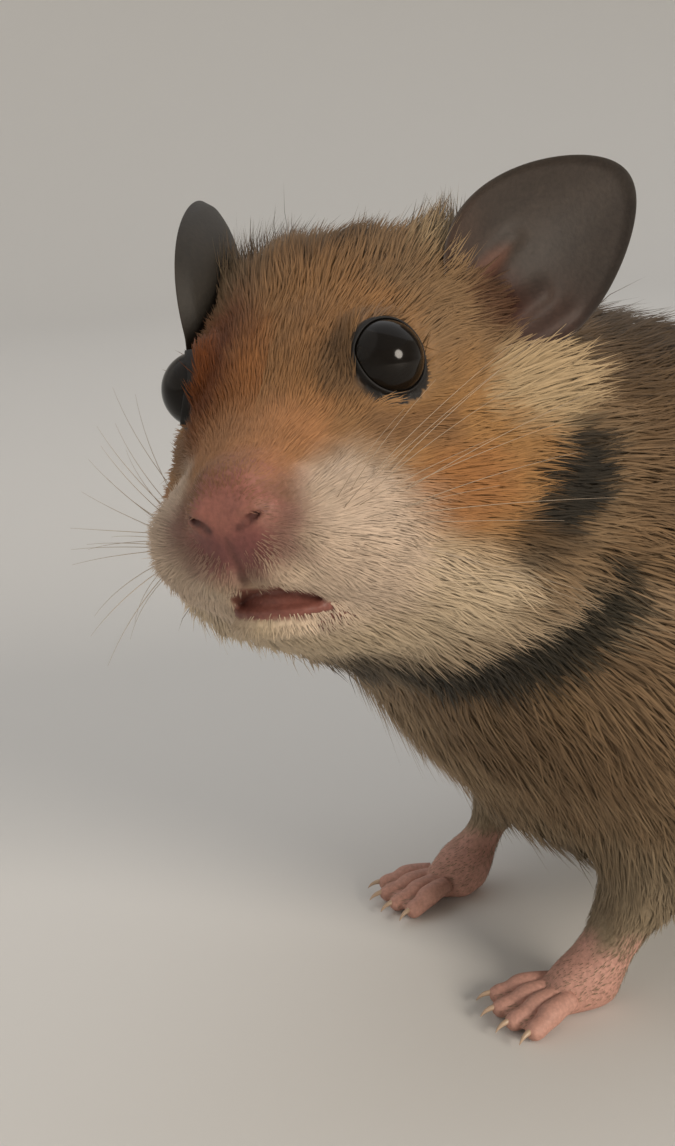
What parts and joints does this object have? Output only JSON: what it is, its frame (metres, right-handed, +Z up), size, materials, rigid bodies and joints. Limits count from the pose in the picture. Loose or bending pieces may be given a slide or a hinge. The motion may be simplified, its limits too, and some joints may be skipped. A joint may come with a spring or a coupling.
{
  "type": "syrian hamster",
  "caption": "Life-size golden hamster standing on all fours with its head raised and turned to its left, mouth a little open, as a still model.",
  "frame": {"origin": "middle of the floor rectangle under the whole animal, with the soles of its four feet at zero height", "axes": "+Z up, the nose end of the body towards -Y and the tail towards +Y, the animal's left towards +X; the head is turned to its left"},
  "size_m": [0.0668, 0.152, 0.0823],
  "materials": {
    "golden_coat": "soft dense fur, golden brown above, white muzzle and jowls, dark cheek flash and chest band, pale grey-cream belly",
    "nose_skin": "moist pink skin with fine short hairs",
    "eye": "wet glossy near-black",
    "ear_skin": "thin dark grey-brown skin with fine down",
    "paw_skin": "pink skin under short pale hair"
  },
  "bodies": {
    "root": {"head": "golden_coat", "jaw": "golden_coat", "nose": "nose_skin", "eye_left": "eye", "eye_right": "eye", "ear_left": "ear_skin", "ear_right": "ear_skin", "neck": "golden_coat", "chest": "golden_coat", "belly": "golden_coat", "rump": "golden_coat", "tail": "paw_skin", "upper_arm_left": "golden_coat", "upper_arm_right": "golden_coat", "forearm_left": "golden_coat", "forearm_right": "golden_coat", "forepaw_left": "paw_skin", "forepaw_right": "paw_skin", "thigh_left": "golden_coat", "thigh_right": "golden_coat", "hind_foot_left": "paw_skin", "hind_foot_right": "paw_skin"}
  },
  "joints": []
}
